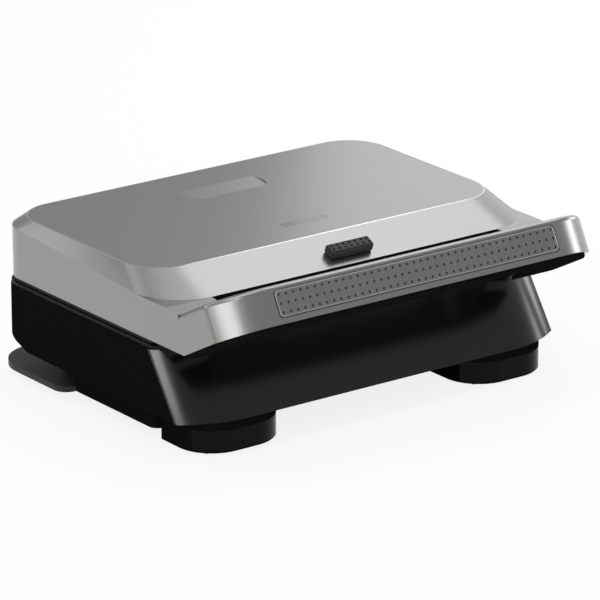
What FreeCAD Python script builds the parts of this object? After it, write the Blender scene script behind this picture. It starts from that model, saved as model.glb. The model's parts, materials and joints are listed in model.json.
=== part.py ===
"""Two-slice sandwich maker: a hinged lid with an upswept loop handle over a footed base.

Millimetres, +Z up, the front towards -Y. The model is drawn with Y = 0 at the front edge of the
lid's flat top and is moved at the end, so that the origin is under the middle of the whole part.
"""
import FreeCAD, Part
import math
import os

V = FreeCAD.Vector

# Fits and cuts
overrun = 30.0
seat_gap = 0.1
run_gap = 0.4
shell_wall = 2.5
rib_wall = 3.0
slider_gap = 0.25

# Flat top, and the stack of heights from the base's underside up
top_half_width = 130.0
top_depth = 145.0
base_bottom = 19.5
base_height = 38.2
rim_height = 2.4
parting_gap = 0.6
lid_rise = 38.3
base_top = base_bottom + base_height
parting_low = base_top + rim_height
parting_high = parting_low + parting_gap
parting_middle = (parting_low + parting_high) / 2
top_height = parting_high + lid_rise

# Lid: sloping shoulders and side walls round the flat top
top_corner_radius = 26.0
top_edge_width = 0.9
top_edge_fall = 0.2
shoulder_width = 7.0
back_width = 2.0
dome_run = 26.5
dome_fall = 11.9
dome_front_radius = 32.0
lid_back_radius = 22.0
shoulder_front_fall = 11.6
shoulder_back_fall = 5.1
skirt_lift = 2.3
skirt_back_lift = 13.0
skirt_back_run = 12.0
lid_half_width = top_half_width + shoulder_width
lid_back = top_depth + back_width
dome_front = -dome_run
dome_front_height = top_height - dome_fall
lid_skirt_height = parting_high + skirt_lift
slope_angle = math.atan2(dome_fall, dome_run)

# Lid arms that carry the handle
arm_width = 32.0
arm_root = 40.5
kink_run = 12.0
kink_fall = 13.0
arm_inner_half_width = lid_half_width - arm_width
arm_rear = dome_front + arm_root
kink_front = dome_front - kink_run
kink_height = top_height - kink_fall

# Recess in the flat top, left bare
recess_half_width = 28.0
recess_setback = 49.5
recess_length = 20.0
recess_depth = 1.3
recess_radius = 9.0
recess_front = top_depth - recess_setback

# Indicator windows
window_width = 15.0
window_depth = 7.0
window_gap = 2.0
window_front = 22.0
window_radius = 2.0
light_pipe_width = 6.0
light_pipe_length = 4.0
board_thickness = 1.6
board_half_width = 24.0
board_depth = 18.0
board_drop = 4.0

# Handle loop, drawn flat and then tilted up at the kink
handle_tilt = 28.0
handle_height = 23.0
handle_reach = 46.9
handle_corner_width = 33.0
handle_corner_depth = 22.0
handle_corner_radius = 8.0
bar_depth = 14.0
handle_opening_radius = 16.0
handle_edge_round = 3.0
underside_height = 2.5
underside_inset = 3.0
underside_chamfer = 1.0
grip_end_margin = 35.5
grip_margin = 3.6
grip_thickness = 2.2
grip_proud = 0.7
grip_groove = 0.6
grip_radius = 2.5
handle_screw_radius = 3.0
handle_screw_recess = 1.5
handle_screw_shares = (0.3, 0.85)
grip_half_width = lid_half_width - grip_end_margin

# Base
base_overhang = 8.2
base_back_setback = 1.0
base_back_radius = 19.4
base_front_setback = 0.5
base_lean = 26.5
bow_depth = 14.0
bow_width = 42.0
panel_wall = 2.5
tail_run = 30.0
tail_rise = 10.5
rim_inset = 1.0
boss_radius = 4.5
boss_inset = 38.2
boss_front = 12.0
boss_back_inset = 42.0
base_half_width = top_half_width + base_overhang
base_back = lid_back - base_back_setback
base_front_top = dome_front + base_front_setback
base_front_bottom = base_front_top - base_lean
boss_half_spacing = base_half_width - boss_inset
boss_back = base_back - boss_back_inset

# Frame inside the lid, up to the dome's front edge
frame_side_inset = 5.7
frame_front_setback = 0.8
frame_back_setback = 2.0
frame_back_radius = 24.0
frame_clearance = 1.6
band_inset = 2.0
frame_top = dome_front_height - shell_wall - seat_gap

# Sandwich plates, heaters and reflectors, drawn for the base and mirrored for the lid
plate_side_border = 14.2
plate_front_border = 22.0
plate_back_border = 12.0
plate_radius = 20.0
plate_land = 5.4
plate_flange = 5.0
plate_flange_thickness = 2.9
plate_clearance = 0.8
pocket_depth = 14.0
pocket_wall = 3.0
pocket_margin = 5.0
pocket_rim_share = 0.93
pocket_floor_share = 0.78
bowl_rim_share = 0.99
bowl_floor_share = 0.86
heater_radius = 3.3
heater_side_inset = 38.0
heater_front_inset = 18.0
heater_back_inset = 22.0
heater_bend = 20.0
heater_terminal_half_gap = 12.0
reflector_wall = 1.2
reflector_depth = 20.6
plate_half_width = base_half_width - plate_side_border
plate_front = base_front_top + plate_front_border
plate_back = base_back - plate_back_border
plate_underside = base_top - seat_gap - plate_flange_thickness
bowl_bottom = parting_low - pocket_depth - pocket_wall
reflector_bottom = plate_underside - reflector_depth

# Thermostat, fuse and wiring block
thermostat_radius = 9.0
thermostat_height = 5.5
fuse_radius = 2.5
fuse_length = 16.0
fuse_offset = 40.0
terminal_width = 34.0
terminal_depth = 16.0
terminal_height = 9.5
terminal_offset = 31.5
terminal_setback = 62.0
terminal_well_half_width = 2.4
terminal_well_shares = (0.18, 0.5, 0.82)

# Hinge
hinge_behind = 3.0
hinge_lift = 6.3
hinge_inset = 54.2
eye_radius = 5.5
pin_radius = 2.5
pin_fit = 0.04
lug_width = 8.0
knuckle_width = 12.0
hinge_side_gap = 0.3
pin_end = 1.0
lug_root = 14.0
lug_depth = 6.0
knuckle_root = 9.0
hinge_back = base_back + hinge_behind
hinge_height = parting_high + hinge_lift
hinge_inner = base_half_width - hinge_inset

# Latch on the front slope
latch_half_width = 15.0
latch_start = 14.65
latch_length = 8.5
latch_proud = 6.0
latch_chamfer = 1.2
latch_travel = 5.0
stem_length = 2.5
stem_setback = 0.5
stem_half_width = 7.0
keeper_half_width = 11.0
keeper_start = 19.0
keeper_length = 5.5
keeper_drop = 3.8
keeper_thickness = 2.0
blade_setback = 7.0
blade_reach = 10.1
blade_thickness = 2.5
blade_half_width = 7.0
toe_length = 2.8
toe_height = 4.0
latch_slot_gap = 0.8
blade_front = dome_front + blade_setback
blade_bottom = parting_low - blade_reach

# Bottom pan, cord wrap and feet
pan_side_inset = 4.2
pan_front_inset = 42.0
pan_back_inset = 71.0
pan_height = 12.0
pan_radius = 6.0
spool_side_inset = 30.2
spool_back_inset = 14.0
spool_radius = 14.0
wrap_plate_step = 2.0
wrap_plate_thickness = 3.5
wrap_plate_overhang = 2.3
wrap_plate_reach = 6.5
wrap_plate_back_radius = 27.0
wrap_plate_front_radius = 9.0
foot_inset = 8.2
foot_width = 64.0
foot_front_setback = 0.5
foot_bottom = 0.6
foot_front_radius = 24.0
foot_chamfer = 0.8
trim_wall = 1.5
trim_depth = 14.0
trim_low = 1.2
trim_high = 5.0
pad_inset = 8.0
pad_sink = 1.0
pad_depth = 22.0
rear_pad_radius = 8.0
rear_pad_side_inset = 28.5
rear_pad_back_inset = 24.5
screw_head_radius = 3.5
screw_head_height = 2.0
pan_half_width = base_half_width - pan_side_inset
pan_front = base_front_bottom + pan_front_inset
pan_back = base_back - pan_back_inset
pan_bottom = base_bottom - pan_height
spool_half_width = base_half_width - spool_side_inset
spool_back = base_back - spool_back_inset
wrap_plate_bottom = pan_bottom - wrap_plate_step
wrap_plate_top = wrap_plate_bottom + wrap_plate_thickness
wrap_plate_half_width = base_half_width + wrap_plate_overhang
wrap_plate_back = base_back + wrap_plate_reach
foot_outer = base_half_width - foot_inset
foot_inner = foot_outer - foot_width
foot_front = base_front_bottom + foot_front_setback

# Cord inlet
gland_inset = 14.0
gland_lift = 20.5
gland_half_width = 7.0
gland_flange_half_width = 10.0
gland_flange = 2.5
gland_bore_radius = 4.0
gland_inside = 6.0


def line(start, end):
    return Part.LineSegment(start, end).toShape()


def arc(start, middle, end):
    return Part.Arc(start, middle, end).toShape()


def corner_point(x, y, radius, degrees, z):
    """Point on a corner circle about (x, y)."""
    turn = math.radians(degrees)
    return V(x + radius * math.cos(turn), y + radius * math.sin(turn), z)


def rounded_edges(x0, x1, y0, y1, front_radius, back_radius, z):
    """Eight edges of a rounded rectangle, from the front line round to the front left corner."""
    a, b = front_radius, back_radius
    return [
        line(V(x0 + a, y0, z), V(x1 - a, y0, z)),
        arc(V(x1 - a, y0, z), corner_point(x1 - a, y0 + a, a, -45, z), V(x1, y0 + a, z)),
        line(V(x1, y0 + a, z), V(x1, y1 - b, z)),
        arc(V(x1, y1 - b, z), corner_point(x1 - b, y1 - b, b, 45, z), V(x1 - b, y1, z)),
        line(V(x1 - b, y1, z), V(x0 + b, y1, z)),
        arc(V(x0 + b, y1, z), corner_point(x0 + b, y1 - b, b, 135, z), V(x0, y1 - b, z)),
        line(V(x0, y1 - b, z), V(x0, y0 + a, z)),
        arc(V(x0, y0 + a, z), corner_point(x0 + a, y0 + a, a, 225, z), V(x0 + a, y0, z)),
    ]


def rounded_slab(x0, x1, y0, y1, front_radius, back_radius, z0, z1):
    edges = rounded_edges(x0, x1, y0, y1, front_radius, back_radius, z0)
    return Part.Face(Part.Wire(edges)).extrude(V(0, 0, z1 - z0))


def block(x0, x1, y0, y1, z0, z1):
    return Part.makeBox(x1 - x0, y1 - y0, z1 - z0, V(x0, y0, z0))


def rod(radius, start, end):
    return Part.makeCylinder(radius, (end - start).Length, start, end - start)


def eight_sided(radius, place, height):
    """Upright prism with eight faces, for small heads, posts and pads."""
    return upright([corner_point(place.x, place.y, radius, 45 * turn, place.z) for turn in range(8)], height)


def upright(ring, height):
    """Upright prism on a ring of points."""
    return Part.Face(Part.makePolygon(ring + ring[:1])).extrude(V(0, 0, height))


def ring_points(edges):
    """Ends and middles of the four corner arcs of a ring of edges."""
    points = []
    for edge in edges[1::2]:
        first, last = edge.ParameterRange
        points += [edge.valueAt(place) for place in (first, (first + last) / 2, last)]
    return points


def flat_faced(rings):
    """Solid with flat faces between rings of points, from the first ring to the last."""
    faces = [Part.Face(Part.makePolygon(ring + ring[:1])) for ring in (rings[0], rings[-1])]
    for upper, lower in zip(rings, rings[1:]):
        for turn in range(len(upper)):
            a, b, c, d = upper[turn - 1], upper[turn], lower[turn], lower[turn - 1]
            faces += [Part.Face(Part.makePolygon([a, b, c, a])), Part.Face(Part.makePolygon([a, c, d, a]))]
    return closed_solid(faces)


def closed_solid(faces):
    shell = Part.Shell(faces)
    shell.sewShape()
    solid = Part.Solid(shell)
    if solid.Volume < 0:
        solid.reverse()
    return solid


def side_prism(points, x0, x1):
    """Outline in (y, z) drawn across from x0 to x1."""
    corners = [V(x0, y, z) for y, z in points]
    return Part.Face(Part.makePolygon(corners + corners[:1])).extrude(V(x1 - x0, 0, 0))


def mirrored(shape):
    return shape.mirror(V(0, 0, 0), V(1, 0, 0))


def joined(shapes):
    """One solid from overlapping shapes."""
    return shapes[0].multiFuse(shapes[1:]).removeSplitter()


def edges_where(shape, test):
    return [edge for edge in shape.Edges if test(edge)]


# Base

def base_front(z):
    """Y of the leaning front at a height."""
    return base_front_bottom + (z - base_bottom) * base_lean / base_height


def bow_wire(side_inset, front_inset, back_inset, back_radius, z, front):
    """Base outline: straight back and sides, and a front whose ends bow back to the side creases."""
    half = base_half_width - side_inset
    y0 = front + front_inset
    y1 = base_back - back_inset
    r = back_radius
    x = half - bow_width
    bow_radius = (bow_width ** 2 + bow_depth ** 2) / (2 * bow_depth)
    half_sweep = math.degrees(math.asin(bow_width / bow_radius)) / 2
    crease = y0 + bow_depth
    return Part.Wire([
        line(V(-x, y0, z), V(x, y0, z)),
        arc(V(x, y0, z), corner_point(x, y0 + bow_radius, bow_radius, half_sweep - 90, z), V(half, crease, z)),
        line(V(half, crease, z), V(half, y1 - r, z)),
        arc(V(half, y1 - r, z), corner_point(half - r, y1 - r, r, 45, z), V(half - r, y1, z)),
        line(V(half - r, y1, z), V(r - half, y1, z)),
        arc(V(r - half, y1, z), corner_point(r - half, y1 - r, r, 135, z), V(-half, y1 - r, z)),
        line(V(-half, y1 - r, z), V(-half, crease, z)),
        arc(V(-half, crease, z), corner_point(-x, y0 + bow_radius, bow_radius, -90 - half_sweep, z), V(-x, y0, z)),
    ])


def base_form(side_inset, front_inset, back_inset, z0, z1):
    radius = base_back_radius - side_inset
    wires = [bow_wire(side_inset, front_inset, back_inset, radius, z, base_front(z)) for z in (z0, z1)]
    return Part.makeLoft(wires, True, True)


def rim_form(side_inset, front_inset, back_inset, back_radius, z0, z1):
    """Upright form on the outline that base and lid share at the parting."""
    wire = bow_wire(side_inset, front_inset, back_inset, back_radius, z0, base_front_top)
    return Part.Face(wire).extrude(V(0, 0, z1 - z0))


def tail_wedge(lift):
    """Wedge under the back of the base, where its underside slopes up."""
    y0 = base_back - tail_run
    y1 = base_back + overrun
    z0 = base_bottom + lift
    z1 = z0 + tail_rise * (y1 - y0) / tail_run
    return side_prism([(y0, z0), (y1, z1), (y1, z0 - overrun), (y0, z0 - overrun)], -base_half_width - overrun,
                      base_half_width + overrun)


def latch_opening(z0, z1):
    """Slot that lets the latch blade down and back."""
    y0 = blade_front - latch_slot_gap
    y1 = blade_front + blade_thickness + latch_travel * math.cos(slope_angle) + latch_slot_gap
    half = blade_half_width + latch_slot_gap
    return block(-half, half, y0, y1, z0, z1)


def plate_opening(z0, z1):
    c = plate_clearance
    r = plate_radius + c
    return rounded_slab(-plate_half_width - c, plate_half_width + c, plate_front - c, plate_back + c, r, r, z0, z1)


def hinge_lug(x0):
    """Lug that stands up behind the base and ends in the hinge eye."""
    x1 = x0 + lug_width
    eye = rod(eye_radius, V(x0, hinge_back, hinge_height), V(x1, hinge_back, hinge_height))
    y0 = base_back - lug_depth
    z0 = base_top - lug_root
    y1 = hinge_back + eye_radius
    web = side_prism([(y0, z0), (base_back, z0), (y1, base_top), (y1, hinge_height),
                      (hinge_back - eye_radius, hinge_height), (base_back, base_top), (y0, base_top)], x0, x1)
    return eye.fuse(web)


def pin_hole(radius):
    x0 = hinge_inner - overrun
    x1 = hinge_inner + 2 * lug_width + knuckle_width + overrun
    return rod(radius, V(x0, hinge_back, hinge_height), V(x1, hinge_back, hinge_height))


def lug_places():
    outer = hinge_inner + lug_width + knuckle_width + 2 * hinge_side_gap
    return (hinge_inner, outer)


def gland_place(y):
    return V(gland_inset - hinge_inner, y, base_bottom + gland_lift)


def gland_block(half, y0, y1):
    place = gland_place(y0)
    return block(place.x - half, place.x + half, y0, y1, place.z - half, place.z + half)


def base_housing():
    outer = base_form(0, panel_wall, 0, base_bottom, base_top)
    hollow = base_form(shell_wall, panel_wall + shell_wall, shell_wall, base_bottom + shell_wall, base_top + overrun)
    hollow = hollow.cut(tail_wedge(shell_wall))
    shell = outer.cut(hollow).cut(tail_wedge(0))
    adds = []
    for x in (-boss_half_spacing, boss_half_spacing):
        for y in (boss_front, boss_back):
            adds.append(eight_sided(boss_radius, V(x, y, base_bottom), reflector_bottom - seat_gap - base_bottom))
    for x in lug_places():
        adds += [hinge_lug(x), mirrored(hinge_lug(x))]
    hole = pin_hole(pin_radius + pin_fit)
    inlet = gland_block(gland_half_width + seat_gap, base_back - overrun, base_back + overrun)
    return joined([shell] + adds).cut(hole).cut(mirrored(hole)).cut(inlet)


def front_panel():
    return base_form(0, 0, 0, base_bottom, base_top).cut(base_form(0, panel_wall, 0, base_bottom, base_top))


def base_rim():
    ring = rim_form(rim_inset, 0, 0, base_back_radius - rim_inset, base_top, parting_low)
    ring = ring.cut(plate_opening(base_top - overrun, parting_low + overrun))
    ring = ring.cut(latch_opening(base_top - overrun, parting_low + overrun))
    for x in lug_places():
        notch = block(x - hinge_side_gap, x + lug_width + hinge_side_gap, base_back - lug_depth - run_gap,
                      base_back + overrun, base_top - overrun, parting_low + overrun)
        ring = ring.cut(notch).cut(mirrored(notch))
    return ring


# Plates and heaters, in the base's position

def triangle_ring(corners, share, z):
    middle = sum(corners[1:], corners[0]) * (1 / 3)
    points = [middle + (corner - middle) * share for corner in corners]
    return [V(point.x, point.y, z) for point in points]


def pocket_triangles():
    """Corners of the four triangular pockets, two for each slice."""
    x0, x1 = pocket_margin / 2, plate_half_width - pocket_margin
    y0, y1 = plate_front + pocket_margin, plate_back - pocket_margin
    corners = [V(x0, y0, 0), V(x1, y0, 0), V(x1, y1, 0), V(x0, y1, 0)]
    right = [[corners[0], corners[1], corners[2]], [corners[0], corners[2], corners[3]]]
    left = [[V(-corner.x, corner.y, 0) for corner in triangle] for triangle in right]
    return right + left


def sandwich_plate():
    f = plate_flange
    w, y0, y1, r = plate_half_width, plate_front, plate_back, plate_radius
    land = rounded_slab(-w, w, y0, y1, r, r, parting_low - plate_land, parting_low)
    flange = rounded_slab(-w - f, w + f, y0 - f, y1 + f, r + f, r + f,
                          plate_underside, plate_underside + plate_flange_thickness)
    body = [land, flange]
    hollows = []
    for corners in pocket_triangles():
        bowl = [triangle_ring(corners, bowl_rim_share, parting_low - plate_land / 2),
                triangle_ring(corners, bowl_floor_share, bowl_bottom)]
        hollow = [triangle_ring(corners, pocket_rim_share, parting_low),
                  triangle_ring(corners, pocket_floor_share, parting_low - pocket_depth)]
        body.append(flat_faced(bowl))
        hollows.append(flat_faced(hollow))
    return joined(body).cut(Part.makeCompound(hollows)).removeSplitter()


def heater():
    """Tubular element: one bent rod with its two ends facing each other at the back."""
    z = bowl_bottom - heater_radius - seat_gap
    w, b, t = plate_half_width - heater_side_inset, heater_bend, heater_terminal_half_gap
    y0, y1 = plate_front + heater_front_inset, plate_back - heater_back_inset
    left = [V(-t, y1, z), V(b - w, y1, z), V(-w, y1 - b, z), V(-w, y0 + b, z), V(b - w, y0, z)]
    right = [V(-point.x, point.y, z) for point in reversed(left)]
    ring = [corner_point(y1, z, heater_radius, 45 * turn, -t) for turn in range(8)]
    ring = [V(point.z, point.x, point.y) for point in ring]
    section = Part.makePolygon(ring + ring[:1])
    mitred = 1
    return Part.makePolygon(left + right).makePipeShell([section], True, False, mitred)


def reflector():
    """Sheet pan behind a heater; its edge carries the plate's flange."""
    g, t = plate_flange, reflector_wall
    w, y0, y1, r = plate_half_width + g, plate_front - g, plate_back + g, plate_radius + g
    outer = ring_points(rounded_edges(-w, w, y0, y1, r, r, reflector_bottom))
    inner = ring_points(rounded_edges(t - w, w - t, y0 + t, y1 - t, r - t, r - t, reflector_bottom + t))
    return upright(outer, plate_underside - seat_gap - reflector_bottom).cut(upright(inner, reflector_depth))


def in_lid(shape):
    """The same piece turned over into the lid."""
    return shape.mirror(V(0, 0, parting_middle), V(0, 0, 1))


# Lid

def lid_rings(wall, bottom):
    """Rings of edges down the lid: flat top, its narrow edge band, a crease that falls to the front, lower edge."""
    half, y0, y1 = lid_half_width - wall, dome_front + wall, lid_back - wall
    a, b = dome_front_radius - wall, lid_back_radius - wall
    top = top_height - wall
    front, side, back = top - dome_fall, top - shoulder_front_fall, top - shoulder_back_fall
    flat_half, flat_back, e, r = top_half_width, top_depth - wall, top_edge_width, top_corner_radius
    flat = rounded_edges(e - flat_half, flat_half - e, e, flat_back - e, r - e, r - e, top)
    band = rounded_edges(-flat_half, flat_half, 0, flat_back, r, r, top - top_edge_fall)
    low = rounded_edges(-half, half, y0, y1, a, b, bottom)
    corner_fall = (front + side) / 2
    crease = [
        line(V(a - half, y0, front), V(half - a, y0, front)),
        arc(V(half - a, y0, front), corner_point(half - a, y0 + a, a, -45, corner_fall), V(half, y0 + a, side)),
        line(V(half, y0 + a, side), V(half, y1 - b, back)),
        arc(V(half, y1 - b, back), corner_point(half - b, y1 - b, b, 45, back), V(half - b, y1, back)),
        line(V(half - b, y1, back), V(b - half, y1, back)),
        arc(V(b - half, y1, back), corner_point(b - half, y1 - b, b, 135, back), V(-half, y1 - b, back)),
        line(V(-half, y1 - b, back), V(-half, y0 + a, side)),
        arc(V(-half, y0 + a, side), corner_point(a - half, y0 + a, a, 225, corner_fall), V(a - half, y0, front)),
    ]
    return [flat, band, crease, low]


def lid_form():
    """Outside of the lid: ruled shoulders and walls between the rings."""
    flat, band, crease, low = lid_rings(0, lid_skirt_height)
    faces = [Part.Face(Part.Wire(ring)) for ring in (flat, low)]
    for upper_ring, lower_ring in ((flat, band), (band, crease)):
        faces += [Part.makeRuledSurface(upper, lower) for upper, lower in zip(upper_ring, lower_ring)]
    faces += [wall_face(upper, lower) for upper, lower in zip(crease, low)]
    return closed_solid(faces)


def wall_face(upper, lower):
    """Upright wall over an edge, up to a level or a falling edge."""
    heights = [vertex.Z for vertex in upper.Vertexes]
    if max(heights) - min(heights) > seat_gap:
        return Part.makeRuledSurface(upper, lower)
    return lower.extrude(V(0, 0, heights[0] - lower.Vertexes[0].Z))


def kink_cut():
    """Space ahead of the mitre where the arms end and the tilted loop begins."""
    lean = math.tan(math.radians(handle_tilt) / 2)
    z0, z1 = lid_skirt_height - overrun, kink_height + overrun
    y0, y1 = kink_front - (kink_height - z0) * lean, kink_front - (kink_height - z1) * lean
    ahead = kink_front - handle_reach - handle_height - overrun
    return side_prism([(y0, z0), (y1, z1), (ahead, z1), (ahead, z0)], -lid_half_width - overrun,
                      lid_half_width + overrun)


def arm():
    """Right arm: a deck that runs from the dome's corner down to the mitre."""
    lean = math.tan(math.radians(handle_tilt) / 2)
    y0 = kink_front - (kink_height - lid_skirt_height) * lean - overrun
    z0 = kink_height + (y0 - kink_front) * (dome_front_height - kink_height) / kink_run
    deck = side_prism([(y0, lid_skirt_height), (y0, z0), (dome_front, dome_front_height),
                       (arm_rear, dome_front_height), (arm_rear, lid_skirt_height)],
                      arm_inner_half_width, lid_half_width)
    return deck.cut(kink_cut())


def slope_point(along, out):
    """(y, z) of a point on the front slope, a length down from the flat top and a height off it."""
    c, s = math.cos(slope_angle), math.sin(slope_angle)
    return (-along * c - out * s, top_height - along * s + out * c)


def slope_block(start, end, low, high, half):
    points = [slope_point(start, low), slope_point(start, high), slope_point(end, high), slope_point(end, low)]
    return side_prism(points, -half, half)


def stem_span():
    """Where the latch stem starts and ends down the slope."""
    end = latch_start + latch_length - stem_setback
    return end - stem_length, end


def window_slab(x0, gap, z0, z1):
    x1 = x0 + window_width
    return rounded_slab(x0 - gap, x1 + gap, window_front - gap, window_front + window_depth + gap,
                        window_radius + gap, window_radius + gap, z0, z1)


def window_places():
    return (-window_gap / 2 - window_width, window_gap / 2)


def recess_cut():
    """Shallow place in the flat top, deepest at its front edge and fading out to the back."""
    y0, y1 = recess_front, recess_front + recess_length
    slab = rounded_slab(-recess_half_width, recess_half_width, y0, y1 + recess_radius, recess_radius,
                        recess_radius, top_height - recess_depth, top_height + overrun)
    wedge = side_prism([(y0, top_height - recess_depth), (y1, top_height), (y1, top_height + overrun),
                        (y0, top_height + overrun)], -recess_half_width, recess_half_width)
    return slab.common(wedge)


def frame_form(gap, z0, z1):
    """Outline of the lid's frame, drawn larger by a gap."""
    return rim_form(frame_side_inset - gap, frame_front_setback - gap, frame_back_setback - gap,
                    frame_back_radius + gap, z0, z1)


def lid_shell():
    hollow = flat_faced([ring_points(ring) for ring in lid_rings(shell_wall, lid_skirt_height - overrun)])
    shell = joined([lid_form(), arm(), mirrored(arm())]).cut(hollow)
    front = block(-arm_inner_half_width, arm_inner_half_width, dome_front - overrun, dome_front + overrun,
                  lid_skirt_height - overrun, dome_front_height - shell_wall)
    back = block(-lid_half_width - overrun, lid_half_width + overrun, lid_back - skirt_back_run,
                 lid_back + overrun, lid_skirt_height - overrun, lid_skirt_height + skirt_back_lift)
    inside = frame_form(frame_clearance, lid_skirt_height - overrun, frame_top + run_gap)
    shell = shell.cut(front).cut(back).cut(inside).cut(recess_cut())
    for x in window_places():
        shell = shell.cut(window_slab(x, seat_gap, top_height - overrun, top_height + overrun))
    start, end = stem_span()
    slot = slope_block(start - latch_travel - run_gap, end + run_gap, -overrun, overrun, stem_half_width + run_gap)
    shell = shell.cut(slot)
    pocket = block(arm_inner_half_width + rib_wall, lid_half_width - rib_wall, kink_front + rib_wall,
                   dome_front - rib_wall, lid_skirt_height - overrun, dome_front_height - rib_wall)
    return shell.cut(pocket).cut(mirrored(pocket))


def hinge_knuckle():
    """Right knuckle on the back of the lid's frame."""
    x0 = hinge_inner + lug_width + hinge_side_gap
    x1 = x0 + knuckle_width
    y0 = base_back - frame_back_setback - shell_wall
    eye = rod(eye_radius, V(x0, hinge_back, hinge_height), V(x1, hinge_back, hinge_height))
    z1 = hinge_height + knuckle_root
    web = side_prism([(y0, hinge_height - pin_radius), (hinge_back, hinge_height - pin_radius),
                      (hinge_back + eye_radius, hinge_height), (y0 + shell_wall, z1), (y0, z1)], x0, x1)
    return eye.fuse(web)


def lid_frame():
    """Dark frame inside the lid: its lower edge shows, and its floor holds the upper plate."""
    z0, z1 = parting_high, frame_top
    floor = z0 + plate_land - plate_flange_thickness
    band = rim_form(band_inset, band_inset, band_inset, base_back_radius - band_inset, z0, lid_skirt_height - run_gap)
    frame = joined([frame_form(0, z0, z1), band]).cut(frame_form(-shell_wall, floor, z1 + overrun))
    frame = frame.cut(plate_opening(z0 - overrun, z1 + overrun))
    frame = frame.cut(latch_opening(z0 - overrun, z1))
    frame = joined([frame, hinge_knuckle(), mirrored(hinge_knuckle())])
    for x in lug_places():
        notch = block(x - hinge_side_gap, x + lug_width + hinge_side_gap, hinge_back - eye_radius - run_gap,
                      hinge_back + overrun, z0 - overrun, hinge_height + eye_radius + run_gap)
        frame = frame.cut(notch).cut(mirrored(notch))
    hole = pin_hole(pin_radius + pin_fit)
    return frame.cut(hole).cut(mirrored(hole))


def window_lens(x0):
    """Flush window with a light pipe down to the board."""
    window = window_slab(x0, 0, top_height - shell_wall, top_height)
    x = x0 + window_width / 2
    y = window_front + window_depth / 2
    pipe = block(x - light_pipe_width / 2, x + light_pipe_width / 2, y - light_pipe_length / 2,
                 y + light_pipe_length / 2, top_height - shell_wall - board_drop, top_height - shell_wall)
    return joined([window, pipe])


def indicator_board():
    z1 = top_height - shell_wall - board_drop - seat_gap
    y = window_front + window_depth / 2
    return block(-board_half_width, board_half_width, y - board_depth / 2, y + board_depth / 2,
                 z1 - board_thickness, z1)


# Handle loop

def tilted(shape):
    """Turn a loop piece, drawn flat with its top at the kink, up about the kink line."""
    turned = shape.copy()
    turned.rotate(V(0, kink_front, kink_height), V(1, 0, 0), -handle_tilt)
    return turned


def loop_corner(side, inset, z):
    """Corner of the loop: a tight arc off the arm that runs into a broad one along the bar."""
    half, wide, deep = lid_half_width - inset, handle_corner_width - inset, handle_corner_depth - inset
    tight, front = handle_corner_radius - inset, kink_front - handle_reach + inset
    offset = wide - tight
    broad = (offset ** 2 + deep ** 2 - tight ** 2) / (2 * (deep - tight))
    turn = math.degrees(math.atan2(broad - deep, offset))
    edges = []
    for centre_x, centre_y, radius, start, end in ((side * (half - tight), front + deep, tight, 0, -turn),
                                                   (side * (half - wide), front + broad, broad, -turn, -90)):
        angles = [start, (start + end) / 2, end]
        if side < 0:
            angles = [180 - angle for angle in angles]
        edges.append(arc(*[corner_point(centre_x, centre_y, radius, angle, z) for angle in angles]))
    return edges


def loop_plate(inset, z0, z1):
    """Outer form of the loop, flat: straight arms, swept corners and a straight bar."""
    half, x = lid_half_width - inset, lid_half_width - handle_corner_width
    front, rear = kink_front - handle_reach + inset, kink_front + handle_height
    corner = kink_front - handle_reach + handle_corner_depth
    wire = Part.Wire([line(V(half, rear, z0), V(half, corner, z0))] + loop_corner(1, inset, z0)
                     + [line(V(x, front, z0), V(-x, front, z0))] + loop_corner(-1, inset, z0)[::-1]
                     + [line(V(-half, corner, z0), V(-half, rear, z0)),
                        line(V(-half, rear, z0), V(half, rear, z0))])
    return Part.Face(wire).extrude(V(0, 0, z1 - z0))


def outer_edges(plate, z):
    """Edges of the loop's outline at a height, apart from its straight rear."""
    rear = kink_front + handle_height - seat_gap
    return edges_where(plate, lambda edge: edge.BoundBox.ZMax < z + seat_gap and edge.BoundBox.ZMin > z - seat_gap
                       and edge.BoundBox.YMin < rear)


def loop_opening(inset):
    """Finger opening of the loop, flat, open to the rear."""
    half = arm_inner_half_width + inset
    front = kink_front - handle_reach + bar_depth - inset
    rear = kink_front + handle_height + overrun
    return rounded_slab(-half, half, front, rear, handle_opening_radius, handle_opening_radius,
                        kink_height - handle_height - overrun, kink_height + overrun)


def front_slab(half, radius, y0, y1, z0, z1):
    """Rounded slab that stands upright and faces the front."""
    slab = rounded_slab(-half, half, z0, z1, radius, radius, -y1, -y0)
    slab.rotate(V(0, 0, 0), V(1, 0, 0), 90)
    return slab


def handle_loop():
    low = kink_height - handle_height
    plate = loop_plate(0, low, kink_height)
    plate = plate.makeFillet(handle_edge_round, outer_edges(plate, kink_height))
    front = kink_front - handle_reach
    pocket = front_slab(grip_half_width + grip_groove, grip_radius + grip_groove, front - overrun,
                        front + grip_thickness - grip_proud + seat_gap, low + grip_margin - grip_groove,
                        kink_height - grip_margin + grip_groove)
    return tilted(plate.cut(loop_opening(0)).cut(pocket)).common(kink_cut())


def grip_inlay():
    low = kink_height - handle_height
    front = kink_front - handle_reach
    return tilted(front_slab(grip_half_width, grip_radius, front - grip_proud, front + grip_thickness - grip_proud,
                             low + grip_margin, kink_height - grip_margin))


def handle_underside():
    z1 = kink_height - handle_height - seat_gap
    z0 = z1 - underside_height
    plate = loop_plate(underside_inset, z0, z1)
    plate = plate.makeChamfer(underside_chamfer, outer_edges(plate, z0))
    shape = tilted(plate.cut(loop_opening(-underside_inset))).common(kink_cut())
    return shape.cut(Part.makeCompound(handle_screw_rods(seat_gap)))


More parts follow.
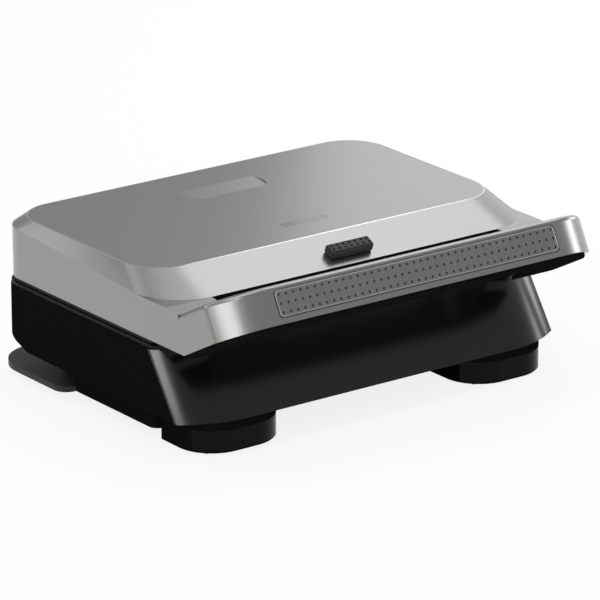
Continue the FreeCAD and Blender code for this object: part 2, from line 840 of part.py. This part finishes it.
def handle_screw_rods(gap):
    """Screw heads sunk in the underside of the bar and of the arms."""
    z0 = kink_height - handle_height - seat_gap - underside_height
    y = kink_front - handle_reach + bar_depth / 2
    places = [V(side * (grip_half_width * share), y, z0) for side in (-1, 1) for share in handle_screw_shares]
    return [tilted(eight_sided(handle_screw_radius + gap, place, handle_screw_recess + gap)) for place in places]


def handle_screws():
    return Part.makeCompound(handle_screw_rods(0))


# Latch

def latch_slider():
    """Finger block on the slope, with the stem that goes down through the slot."""
    end = latch_start + latch_length
    c = latch_chamfer
    outline = [slope_point(latch_start, slider_gap), slope_point(latch_start, latch_proud - c),
               slope_point(latch_start + c, latch_proud), slope_point(end - c, latch_proud),
               slope_point(end, latch_proud - c), slope_point(end, slider_gap)]
    finger = side_prism(outline, -latch_half_width, latch_half_width)
    stem_start, stem_end = stem_span()
    stem = slope_block(stem_start, stem_end, -keeper_drop, slider_gap, stem_half_width)
    return joined([finger, stem])


def latch_hook():
    """Keeper plate under the shell, with the blade and the toe that catches under the base's rim."""
    end = keeper_start + keeper_length
    keeper = slope_block(keeper_start, end, -keeper_drop - keeper_thickness, -keeper_drop, keeper_half_width)
    y0, y1 = blade_front, blade_front + blade_thickness
    top = slope_point(keeper_start, -keeper_drop - keeper_thickness / 2)[1] - keeper_thickness
    blade = side_prism([(y0, top), (y0, blade_bottom), (y1 + toe_length, blade_bottom),
                        (y1 + toe_length, blade_bottom + toe_height - latch_chamfer),
                        (y1, blade_bottom + toe_height), (y1, top)], -blade_half_width, blade_half_width)
    return joined([keeper, blade])


# Lid's electrical pieces

def thermostat():
    z = 2 * parting_middle - reflector_bottom + seat_gap
    y = (plate_front + plate_back) / 2
    return eight_sided(thermostat_radius, V(0, y, z), thermostat_height)


def thermal_fuse():
    z = 2 * parting_middle - reflector_bottom + seat_gap + fuse_radius
    y = (plate_front + plate_back) / 2
    return rod(fuse_radius, V(fuse_offset, y, z), V(fuse_offset + fuse_length, y, z))


# Bottom pan, feet and small base pieces

def terminal_block():
    z0 = base_bottom + shell_wall + seat_gap
    x0, y0 = terminal_offset, base_back - terminal_setback
    body = block(x0, x0 + terminal_width, y0, y0 + terminal_depth, z0, z0 + terminal_height)
    holes = []
    for share in terminal_well_shares:
        x, y, z = x0 + terminal_width * share, y0 + terminal_depth / 2, z0 + terminal_height / 2
        h = terminal_well_half_width
        holes.append(block(x - h, x + h, y - h, y + h, z, z + terminal_height))
    return body.cut(Part.makeCompound(holes))


def bottom_pan():
    solid_base = base_form(0, 0, 0, base_bottom, base_top).cut(tail_wedge(0))
    solid_base.translate(V(0, 0, -seat_gap))
    w, s, t = pan_half_width, spool_half_width, shell_wall
    spool_bottom = wrap_plate_top + seat_gap
    roof = base_bottom + tail_rise
    middle = rounded_slab(-w, w, pan_front, pan_back, pan_radius, pan_radius, pan_bottom, roof)
    spool = rounded_slab(-s, s, pan_front + pan_radius, spool_back, pan_radius, spool_radius, spool_bottom, roof)
    middle_hollow = rounded_slab(t - w, w - t, pan_front + t, pan_back - t, pan_radius - t, pan_radius - t,
                                 pan_bottom + t, roof + overrun)
    spool_hollow = rounded_slab(t - s, s - t, pan_front + pan_radius, spool_back - t, pan_radius, spool_radius - t,
                                spool_bottom + t, roof + overrun)
    pan = joined([middle, spool]).cut(middle_hollow).cut(spool_hollow)
    ahead = block(-w - overrun, w + overrun, pan_front - overrun, base_back - tail_run, base_bottom - seat_gap,
                  roof + overrun)
    return pan.cut(ahead).cut(solid_base)


def cord_wrap_plate():
    w = wrap_plate_half_width
    return rounded_slab(-w, w, pan_back + run_gap, wrap_plate_back, wrap_plate_front_radius,
                        wrap_plate_back_radius, wrap_plate_bottom, wrap_plate_top)


def foot_pad(gap):
    x0, x1 = foot_inner + pad_inset, foot_outer - pad_inset
    y0 = foot_front + pad_inset
    return block(x0 - gap, x1 + gap, y0 - gap, y0 + pad_depth + gap, -gap, foot_bottom + pad_sink)


def foot_slab(inset, back, z0, z1):
    """Slab on the right foot's outline, with rounded front corners and square back ones."""
    x0, x1, y0, r = foot_inner + inset, foot_outer - inset, foot_front + inset, foot_front_radius - inset
    return rounded_slab(x0, x1, y0, back + overrun, r, r, z0, z1).common(block(x0, x1, y0, back, z0, z1))


def foot_trim(gap):
    """Polished cover round the front of the right foot."""
    z0, z1 = foot_bottom + trim_low - gap, base_bottom - trim_high + gap
    back = foot_front + trim_depth + gap
    return foot_slab(0, back, z0, z1).cut(foot_slab(trim_wall + gap, back + overrun, z0, z1))


def front_foot():
    """Right foot block, with a place for its cover and a pocket for its pad."""
    foot = foot_slab(0, pan_front - run_gap, foot_bottom, base_bottom - seat_gap)
    low = edges_where(foot, lambda edge: edge.BoundBox.ZMax < foot_bottom + seat_gap)
    return foot.makeChamfer(foot_chamfer, low).cut(foot_pad(seat_gap)).cut(foot_trim(seat_gap))


def foot_pads():
    front = foot_pad(0)
    place = V(wrap_plate_half_width - rear_pad_side_inset, wrap_plate_back - rear_pad_back_inset, 0)
    rear = eight_sided(rear_pad_radius, place, wrap_plate_bottom - seat_gap)
    return Part.makeCompound([front, mirrored(front), rear, mirrored(rear)])


def pan_screws():
    heads = []
    z = pan_bottom - seat_gap - screw_head_height
    for x in (-boss_half_spacing, boss_half_spacing):
        for y in (pan_front + boss_front, pan_back - boss_front):
            heads.append(eight_sided(screw_head_radius, V(x, y, z), screw_head_height))
    return Part.makeCompound(heads)


def cord_gland():
    outside = gland_block(gland_flange_half_width, base_back + seat_gap, base_back + gland_flange)
    barrel = gland_block(gland_half_width, base_back - gland_inside, base_back + gland_flange)
    bore = rod(gland_bore_radius, gland_place(base_back - overrun), gland_place(base_back + overrun))
    return joined([outside, barrel]).cut(bore)


def hinge_pin():
    x0 = hinge_inner - pin_end
    x1 = hinge_inner + 2 * lug_width + knuckle_width + 2 * hinge_side_gap + pin_end
    return rod(pin_radius, V(x0, hinge_back, hinge_height), V(x1, hinge_back, hinge_height))


left_window, right_window = window_places()
pieces = {
    "base_housing": base_housing(),
    "front_panel": front_panel(),
    "base_rim": base_rim(),
    "bottom_pan": bottom_pan(),
    "cord_wrap_plate": cord_wrap_plate(),
    "front_foot_right": front_foot(),
    "front_foot_left": mirrored(front_foot()),
    "foot_trim_right": foot_trim(0),
    "foot_trim_left": mirrored(foot_trim(0)),
    "foot_pads": foot_pads(),
    "pan_screws": pan_screws(),
    "lower_plate": sandwich_plate(),
    "lower_heater": heater(),
    "lower_reflector": reflector(),
    "terminal_block": terminal_block(),
    "cord_gland": cord_gland(),
    "hinge_pin_right": hinge_pin(),
    "hinge_pin_left": mirrored(hinge_pin()),
    "lid_shell": lid_shell(),
    "lid_frame": lid_frame(),
    "upper_plate": in_lid(sandwich_plate()),
    "upper_heater": in_lid(heater()),
    "upper_reflector": in_lid(reflector()),
    "thermostat": thermostat(),
    "thermal_fuse": thermal_fuse(),
    "indicator_board": indicator_board(),
    "indicator_window_left": window_lens(left_window),
    "indicator_window_right": window_lens(right_window),
    "handle_loop": handle_loop(),
    "handle_underside": handle_underside(),
    "grip_inlay": grip_inlay(),
    "handle_screws": handle_screws(),
    "latch_slider": latch_slider(),
    "latch_hook": latch_hook(),
}

boxes = [shape.BoundBox for shape in pieces.values()]
middle_y = (min(box.YMin for box in boxes) + max(box.YMax for box in boxes)) / 2
os.makedirs("parts", exist_ok=True)
for name, shape in pieces.items():
    shape.translate(V(0, -middle_y, 0))
    shape.exportStep("parts/" + name + ".step")
    print(name, "solids", len(shape.Solids), "valid", shape.isValid(), "volume", round(shape.Volume))
print("moved back by", round(-middle_y, 3), "hinge axis y", round(hinge_back - middle_y, 3), "z", hinge_height)
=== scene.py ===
"""Looks of the sandwich maker: paint, plastics, lamps and the dimples of the grip and the latch."""

import json
import math

import bpy
import bmesh
from mathutils import Matrix, Vector

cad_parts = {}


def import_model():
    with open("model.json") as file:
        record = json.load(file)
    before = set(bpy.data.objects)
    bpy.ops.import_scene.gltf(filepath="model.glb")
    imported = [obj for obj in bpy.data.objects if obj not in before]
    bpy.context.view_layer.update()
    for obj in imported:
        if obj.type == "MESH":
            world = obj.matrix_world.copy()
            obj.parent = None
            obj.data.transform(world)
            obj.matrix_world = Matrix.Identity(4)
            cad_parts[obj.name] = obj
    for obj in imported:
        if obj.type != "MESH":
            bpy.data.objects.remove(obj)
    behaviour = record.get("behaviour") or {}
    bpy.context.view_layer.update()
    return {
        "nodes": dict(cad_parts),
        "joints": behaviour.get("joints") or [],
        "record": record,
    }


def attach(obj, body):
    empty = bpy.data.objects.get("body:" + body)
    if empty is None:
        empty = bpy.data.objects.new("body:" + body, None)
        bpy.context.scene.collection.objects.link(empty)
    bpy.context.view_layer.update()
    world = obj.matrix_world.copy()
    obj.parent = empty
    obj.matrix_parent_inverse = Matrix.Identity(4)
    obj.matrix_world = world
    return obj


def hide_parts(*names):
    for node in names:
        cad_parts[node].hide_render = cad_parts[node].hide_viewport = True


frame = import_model()
nodes = frame["nodes"]
scene = bpy.context.scene
MM = 0.001
ACROSS = Vector((1, 0, 0))

# Camera, read from the photograph's perspective
CAMERA_PLACE = Vector((-1.6516, -2.2260, 0.9993))
CAMERA_AZIMUTH = math.radians(-36.60)
CAMERA_ELEVATION = math.radians(18.95)
CAMERA_LENS = 294.8
CAMERA_REACH = 50
SENSOR = 36.0

# Floor: half its width, its paint, and the share of plain white that the camera and reflections see
FLOOR_HALF = 6.0
FLOOR_PAINT = (0.95, 0.95, 0.95)
FLOOR_ROUGHNESS = 0.8
FLOOR_WHITE = 0.85

# Surroundings: the brighter side, how fast they fall off, and the least and most strength
BRIGHT_SIDE = (-0.30, 0.70, 0.65)
FALL_OFF = 46.0
SURROUNDINGS = (0.46, 1.50)

# Lamps: direction from the object, distance, width and height, brightness
LAMPS = {
    "overhead": ((0.56, 0.22, 0.80), 1.8, (0.9, 0.7), 1.9),
    "above": ((-0.12, 0.0, 1.0), 1.8, (0.7, 1.7), 2.1),
    "back_right": ((0.80, 0.50, 0.34), 0.95, (0.7, 0.5), 0.8),
    "edge_strip": ((0.564, 0.546, 0.62), 1.8, (1.0, 0.12), 2.4),
    "front_left": ((-0.82, -0.45, 0.35), 1.7, (1.2, 0.5), 2.8),
    "left_high": ((-0.48, -0.60, 0.62), 1.8, (0.17, 0.22), 14.0),
    "left_back": ((-0.81, 0.39, 0.43), 1.7, (0.5, 0.4), 2.4),
    "right_side": ((0.975, 0.10, 0.22), 1.6, (0.4, 0.4), 5.0),
    "right_low": ((0.90, -0.30, 0.19), 1.6, (0.5, 0.2), 6.0),
}
LAMP_AIM = Vector((0, 0, 0.06))

# Noise of the finishes: cells in a metre, layers, and how far it is drawn out along X
PAINT_CELLS = 240
PLASTIC_CELLS = 1500
GLOSS_CELLS = 60
METAL_CELLS = 400
WINDOW_CELLS = 120
NOISE_LAYERS = 3
EVEN = (1, 1, 1)
BRUSHED = (0.06, 1, 1)
TURNED = (0.1, 1, 1)

# Roughness: how far the noise moves it, as a step or as a share of it, or its whole range
PAINT_STEP = 0.01
PLASTIC_SHARE = 0.08
METAL_SHARE = 0.15
GLOSS_RANGE = (0.15, 0.19)
WINDOW_RANGE = (0.1, 0.15)

# Share of metal in the silver paint
PAINT_METAL = 0.95

# Height of the grain on moulded pieces
FINE_GRAIN = 0.02 * MM
RUBBER_GRAIN = 0.03 * MM
GRIP_GRAIN = 0.08 * MM

# Grip and latch: the lean of the grip's face, and their rows of dimples
GRIP_LEAN = math.radians(28)
GRIP_NORMAL = Vector((0, -math.cos(GRIP_LEAN), math.sin(GRIP_LEAN)))
GRIP_COLUMNS, GRIP_ROWS = 40, 3
LATCH_COLUMNS, LATCH_ROWS = 7, 2

# Dimple: its radius at the face and at its floor, its depth, the margin in steps, and its sides
DIMPLE_RADIUS = 0.9 * MM
DIMPLE_FLOOR = 0.6 * MM
DIMPLE_DEPTH = 1.6 * MM
DIMPLE_MARGIN = 0.5
DIMPLE_SIDES = 16

# Rounding of the dimpled pieces: radius, steps, the least angle of an edge, the most of a flat joint
EDGE_ROUND = 0.9 * MM
EDGE_STEPS = 2
SHARP_ANGLE = math.radians(50)
FLAT_ANGLE = math.radians(1)
WELD = 0.001 * MM

# A flat face: how well its facets agree with its normal, and how far they may lie below it
FACE_MATCH = 0.999
FACE_SLACK = 0.05 * MM

# Faces painted with highlights and shade: limits of how they face, and where they lie
EDGE_BAND_FACING = (0.9, 0.995)
EDGE_BAND_DROP = 0.3 * MM
GRIP_EDGE_FACING = (0.3, 0.98)
WALL_FACING = -0.99
WALL_PLACE = -50 * MM


# Materials

def new_material(name, color, roughness, metallic=0.0, sheen=0.5):
    material = bpy.data.materials.new(name)
    material.use_nodes = True
    shader = material.node_tree.nodes["Principled BSDF"]
    shader.inputs["Base Color"].default_value = (*color, 1)
    shader.inputs["Roughness"].default_value = roughness
    shader.inputs["Metallic"].default_value = metallic
    shader.inputs["Specular IOR Level"].default_value = sheen
    return material, shader


def add_noise(material, cells, stretch=EVEN):
    """Noise in the object's own coordinates."""
    tree = material.node_tree
    place = tree.nodes.new("ShaderNodeTexCoord")
    mapping = tree.nodes.new("ShaderNodeMapping")
    mapping.inputs["Scale"].default_value = stretch
    noise = tree.nodes.new("ShaderNodeTexNoise")
    noise.inputs["Scale"].default_value = cells
    noise.inputs["Detail"].default_value = NOISE_LAYERS
    tree.links.new(place.outputs["Object"], mapping.inputs["Vector"])
    tree.links.new(mapping.outputs["Vector"], noise.inputs["Vector"])
    return noise


def rough_by_noise(material, shader, noise, low, high):
    tree = material.node_tree
    spread = tree.nodes.new("ShaderNodeMapRange")
    spread.inputs["To Min"].default_value = low
    spread.inputs["To Max"].default_value = high
    tree.links.new(noise.outputs["Fac"], spread.inputs["Value"])
    tree.links.new(spread.outputs["Result"], shader.inputs["Roughness"])


def bump_by_noise(material, shader, noise, height):
    tree = material.node_tree
    bump = tree.nodes.new("ShaderNodeBump")
    bump.inputs["Strength"].default_value = 1.0
    bump.inputs["Distance"].default_value = height
    tree.links.new(noise.outputs["Fac"], bump.inputs["Height"])
    tree.links.new(bump.outputs["Normal"], shader.inputs["Normal"])


def silver_paint(name, color, roughness):
    material, shader = new_material(name, color, roughness, PAINT_METAL)
    noise = add_noise(material, PAINT_CELLS, BRUSHED)
    rough_by_noise(material, shader, noise, roughness - PAINT_STEP, roughness + PAINT_STEP)
    return material


def moulded_plastic(name, color, roughness, grain=0.0, sheen=0.5):
    material, shader = new_material(name, color, roughness, 0.0, sheen)
    noise = add_noise(material, PLASTIC_CELLS)
    rough_by_noise(material, shader, noise, roughness * (1 - PLASTIC_SHARE), roughness * (1 + PLASTIC_SHARE))
    if grain:
        bump_by_noise(material, shader, noise, grain)
    return material


def gloss_plastic(name, color, sheen):
    low, high = GLOSS_RANGE
    material, shader = new_material(name, color, (low + high) / 2, 0.0, sheen)
    rough_by_noise(material, shader, add_noise(material, GLOSS_CELLS), low, high)
    return material


def metal(name, color, roughness, stretch=EVEN):
    material, shader = new_material(name, color, roughness, 1.0)
    noise = add_noise(material, METAL_CELLS, stretch)
    rough_by_noise(material, shader, noise, roughness * (1 - METAL_SHARE), roughness * (1 + METAL_SHARE))
    return material


def tinted_window(name, color):
    low, high = WINDOW_RANGE
    material, shader = new_material(name, color, (low + high) / 2)
    rough_by_noise(material, shader, add_noise(material, WINDOW_CELLS), low, high)
    return material


LOOKS = {
    "silver_shell": silver_paint("silver_paint", (0.315, 0.311, 0.306), 0.28),
    "black_matte": moulded_plastic("black_matte", (0.006, 0.006, 0.0062), 0.5, FINE_GRAIN, 0.0),
    "black_gloss": gloss_plastic("black_gloss", (0.003, 0.003, 0.0032), 0.45),
    "dark_grey": moulded_plastic("dark_grey", (0.024, 0.024, 0.0255), 0.45, FINE_GRAIN, 0.2),
    "grip_grey": moulded_plastic("grip_grey", (0.145, 0.143, 0.144), 0.55, GRIP_GRAIN),
    "charcoal": moulded_plastic("charcoal", (0.03, 0.029, 0.029), 0.5, FINE_GRAIN, 0.3),
    "pad_rubber": moulded_plastic("pad_rubber", (0.02, 0.02, 0.02), 0.8, RUBBER_GRAIN),
    "gland_rubber": moulded_plastic("gland_rubber", (0.02, 0.02, 0.021), 0.7, RUBBER_GRAIN),
    "plate_coating": moulded_plastic("plate_coating", (0.02, 0.02, 0.021), 0.35, FINE_GRAIN),
    "bright_sheet": metal("bright_sheet", (0.75, 0.75, 0.75), 0.25),
    "heater_steel": metal("heater_steel", (0.35, 0.33, 0.31), 0.45),
    "pin_steel": metal("pin_steel", (0.6, 0.6, 0.6), 0.3, TURNED),
    "screw_steel": metal("screw_steel", (0.005, 0.005, 0.005), 0.5),
    "wiring_plastic": moulded_plastic("wiring_plastic", (0.75, 0.73, 0.68), 0.5),
    "board_green": moulded_plastic("board_green", (0.03, 0.16, 0.07), 0.4),
    "window_clear": tinted_window("window_clear", (0.17, 0.17, 0.17)),
}
SLOTS = {row["node"]: row["material_slot"] for row in frame["record"]["subparts"]}

# Pieces darker or paler than the rest of their slot; the handle's underside and its screws take a darker
# look, painted shade under the bar
foot_gloss = gloss_plastic("foot_gloss", (0.003, 0.003, 0.0032), 0.08)
frame_grey = moulded_plastic("frame_grey", (0.009, 0.0088, 0.0088), 0.45, FINE_GRAIN, 0.1)
# Painted shade: a darker copy of the dark grey plastic for the handle's underside and its screws, which lie
# in shade under the bar
underside_painted_shade = moulded_plastic("underside_painted_shade", (0.008, 0.008, 0.0085), 0.5, FINE_GRAIN, 0.0)
OWN_LOOKS = {
    "base_rim": frame_grey,
    "lid_frame": frame_grey,
    "foot_trim_left": foot_gloss,
    "foot_trim_right": foot_gloss,
    "handle_underside": underside_painted_shade,
    "handle_screws": underside_painted_shade,
}


def dress(obj, node_name):
    slot_name = SLOTS[node_name]
    obj.data.materials.clear()
    obj.data.materials.append(OWN_LOOKS.get(node_name, LOOKS[slot_name]))


for name, node in nodes.items():
    dress(node, name)


# Faces painted with highlights and shade

def paint_faces(obj, look, chosen):
    mesh = obj.data
    mesh.materials.append(look)
    for polygon in mesh.polygons:
        if chosen(polygon):
            polygon.material_index = len(mesh.materials) - 1


def on_edge_band(polygon):
    """Narrow band round the flat top, painted paler as a painted highlight along the edge."""
    low, high = EDGE_BAND_FACING
    return polygon.center.z > lid_top - EDGE_BAND_DROP and low < polygon.normal.z < high


def painted_shade_behind_bar(polygon):
    """Wall below the front slope, which faces the bar across the opening; it is painted black as painted
    shade in the gap.
    """
    return polygon.normal.y < WALL_FACING and polygon.center.y < WALL_PLACE


def painted_highlight_grip_edge(polygon):
    """Rounded edge round the face of the grip, painted silver as a painted highlight outline."""
    low, high = GRIP_EDGE_FACING
    return low < polygon.normal.dot(GRIP_NORMAL) < high


lid = nodes["lid_shell"]
lid_top = max(vertex.co.z for vertex in lid.data.vertices)
# Painted highlight: the narrow band round the flat top gets a paler, smoother silver so that it reads as a
# bright edge line
painted_highlight_edge = silver_paint("painted_highlight_edge", (0.55, 0.546, 0.54), 0.14)
paint_faces(lid, painted_highlight_edge, on_edge_band)
# Painted shade: the lid's silver wall inside the opening behind the bar is painted black so that the gap
# reads dark
paint_faces(lid, LOOKS["black_matte"], painted_shade_behind_bar)


# Dimpled pieces

def face_on(node, normal):
    """Middle, half width, half height and upward direction of a node's flat face with that normal."""
    mesh = node.data
    corners = []
    for polygon in mesh.polygons:
        if polygon.normal.dot(normal) > FACE_MATCH:
            corners += [mesh.vertices[index].co for index in polygon.vertices]
    up = normal.cross(ACROSS)
    reach = max(corner.dot(normal) for corner in corners)
    outer = [corner for corner in corners if corner.dot(normal) > reach - FACE_SLACK]
    xs = [corner.x for corner in outer]
    ups = [corner.dot(up) for corner in outer]
    middle = ACROSS * (min(xs) + max(xs)) / 2 + up * (min(ups) + max(ups)) / 2 + normal * reach
    return middle, (max(xs) - min(xs)) / 2, (max(ups) - min(ups)) / 2, up


def rounded_mesh(node):
    """Copy of a node's mesh with its sharp outer edges rounded over."""
    made = node.data.copy()
    shape = bmesh.new()
    shape.from_mesh(made)
    bmesh.ops.remove_doubles(shape, verts=shape.verts, dist=WELD)
    bmesh.ops.dissolve_limit(shape, angle_limit=FLAT_ANGLE, verts=shape.verts, edges=shape.edges)
    sharp = [edge for edge in shape.edges if edge.calc_face_angle_signed(0) > SHARP_ANGLE]
    bmesh.ops.bevel(shape, geom=sharp, offset=EDGE_ROUND, segments=EDGE_STEPS, profile=0.5,
                    affect="EDGES", clamp_overlap=True)
    shape.to_mesh(made)
    shape.free()
    return made


def dimple_cones(node, normal, columns, rows):
    """Rows of cones that reach as far out of a node's face as into it."""
    middle, half_width, half_height, up = face_on(node, normal)
    step_x = 2 * half_width / (columns - 1 + 2 * DIMPLE_MARGIN)
    step_up = 2 * half_height / (rows - 1 + 2 * DIMPLE_MARGIN)
    turn = normal.to_track_quat("Z", "Y").to_matrix().to_4x4()
    outer_radius = 2 * DIMPLE_RADIUS - DIMPLE_FLOOR
    cones = bmesh.new()
    for column in range(columns):
        for row in range(rows):
            place = (middle + ACROSS * step_x * (column - (columns - 1) / 2)
                     + up * step_up * (row - (rows - 1) / 2))
            bmesh.ops.create_cone(cones, cap_ends=True, segments=DIMPLE_SIDES,
                                  radius1=DIMPLE_FLOOR, radius2=outer_radius,
                                  depth=2 * DIMPLE_DEPTH, matrix=Matrix.Translation(place) @ turn)
    mesh = bpy.data.meshes.new("dimple_cones")
    cones.to_mesh(mesh)
    cones.free()
    return mesh


def dimpled(name, node_name, body, normal, columns, rows):
    """Rounded copy of a node with rows of dimples sunk in one face, which stands for the node."""
    node = nodes[node_name]
    tool = bpy.data.objects.new(name + "_tool", dimple_cones(node, normal, columns, rows))
    piece = bpy.data.objects.new(name, rounded_mesh(node))
    for obj in (tool, piece):
        scene.collection.objects.link(obj)
    cut = piece.modifiers.new("dimples", "BOOLEAN")
    cut.operation = "DIFFERENCE"
    cut.solver = "EXACT"
    cut.object = tool
    bpy.context.view_layer.update()
    made = bpy.data.meshes.new_from_object(piece.evaluated_get(bpy.context.evaluated_depsgraph_get()))
    piece.modifiers.clear()
    piece.data = made
    bpy.data.objects.remove(tool)
    dress(piece, node_name)
    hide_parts(node_name)
    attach(piece, body)
    return piece


slide_axis = Vector(next(joint["axis"] for joint in frame["joints"] if joint["name"] == "latch_slide"))
latch_normal = ACROSS.cross(slide_axis)
grip = dimpled("grip_panel", "grip_inlay", "lid", GRIP_NORMAL, GRIP_COLUMNS, GRIP_ROWS)
# Painted highlight: the grip's rounded edges are painted silver so that the grip shows a bright outline
paint_faces(grip, LOOKS["silver_shell"], painted_highlight_grip_edge)
dimpled("latch_finger", "latch_slider", "latch", latch_normal, LATCH_COLUMNS, LATCH_ROWS)


# Floor, surroundings, camera and lamps

def floor():
    """Pale floor that the camera and reflections see as nearly white."""
    mesh = bpy.data.meshes.new("floor")
    corners = [(x * FLOOR_HALF, y * FLOOR_HALF, 0) for x, y in ((-1, -1), (1, -1), (1, 1), (-1, 1))]
    mesh.from_pydata(corners, [], [(0, 1, 2, 3)])
    plane = bpy.data.objects.new("floor", mesh)
    scene.collection.objects.link(plane)
    material, shader = new_material("floor_white", FLOOR_PAINT, FLOOR_ROUGHNESS)
    tree = material.node_tree
    path = tree.nodes.new("ShaderNodeLightPath")
    camera_or_glossy = tree.nodes.new("ShaderNodeMath")
    camera_or_glossy.operation = "MAXIMUM"
    any_of_three = tree.nodes.new("ShaderNodeMath")
    any_of_three.operation = "MAXIMUM"
    share = tree.nodes.new("ShaderNodeMath")
    share.operation = "MULTIPLY"
    share.inputs[1].default_value = FLOOR_WHITE
    white = tree.nodes.new("ShaderNodeEmission")
    mix = tree.nodes.new("ShaderNodeMixShader")
    tree.links.new(path.outputs["Is Camera Ray"], camera_or_glossy.inputs[0])
    tree.links.new(path.outputs["Is Glossy Ray"], camera_or_glossy.inputs[1])
    tree.links.new(camera_or_glossy.outputs["Value"], any_of_three.inputs[0])
    tree.links.new(path.outputs["Is Transmission Ray"], any_of_three.inputs[1])
    tree.links.new(any_of_three.outputs["Value"], share.inputs[0])
    tree.links.new(share.outputs["Value"], mix.inputs["Fac"])
    tree.links.new(shader.outputs["BSDF"], mix.inputs[1])
    tree.links.new(white.outputs["Emission"], mix.inputs[2])
    tree.links.new(mix.outputs["Shader"], tree.nodes["Material Output"].inputs["Surface"])
    mesh.materials.append(material)


def world():
    """Pale surroundings that grow brighter towards one side."""
    made = bpy.data.worlds.new("studio")
    scene.world = made
    made.use_nodes = True
    tree = made.node_tree
    place = tree.nodes.new("ShaderNodeTexCoord")
    toward = tree.nodes.new("ShaderNodeVectorMath")
    toward.operation = "DOT_PRODUCT"
    toward.inputs[1].default_value = Vector(BRIGHT_SIDE).normalized()
    share = tree.nodes.new("ShaderNodeMapRange")
    share.inputs["From Min"].default_value = -1.0
    falling = tree.nodes.new("ShaderNodeMath")
    falling.operation = "POWER"
    falling.inputs[1].default_value = FALL_OFF
    spread = tree.nodes.new("ShaderNodeMapRange")
    spread.inputs["To Min"].default_value, spread.inputs["To Max"].default_value = SURROUNDINGS
    background = tree.nodes["Background"]
    background.inputs["Color"].default_value = (1, 1, 1, 1)
    tree.links.new(place.outputs["Generated"], toward.inputs[0])
    tree.links.new(toward.outputs["Value"], share.inputs["Value"])
    tree.links.new(share.outputs["Result"], falling.inputs[0])
    tree.links.new(falling.outputs["Value"], spread.inputs["Value"])
    tree.links.new(spread.outputs["Result"], background.inputs["Strength"])


def camera():
    data = bpy.data.cameras.new("camera")
    data.lens = CAMERA_LENS
    data.sensor_width = SENSOR
    data.clip_end = CAMERA_REACH
    obj = bpy.data.objects.new("camera", data)
    obj.location = CAMERA_PLACE
    obj.rotation_euler = (math.pi / 2 - CAMERA_ELEVATION, 0, CAMERA_AZIMUTH)
    scene.collection.objects.link(obj)
    scene.camera = obj


def lamp(name, direction, distance, size, brightness):
    """Soft area lamp out along a direction from the object, aimed back at it."""
    toward = Vector(direction).normalized()
    data = bpy.data.lights.new(name, "AREA")
    data.shape = "RECTANGLE"
    data.size, data.size_y = size
    data.energy = brightness * math.pi * data.size * data.size_y
    obj = bpy.data.objects.new(name, data)
    obj.location = toward * distance + LAMP_AIM
    obj.rotation_mode = "QUATERNION"
    obj.rotation_quaternion = toward.to_track_quat("Z", "Y")
    scene.collection.objects.link(obj)


floor()
world()
camera()
for name, row in LAMPS.items():
    lamp(name, *row)
scene.view_settings.view_transform = "Standard"
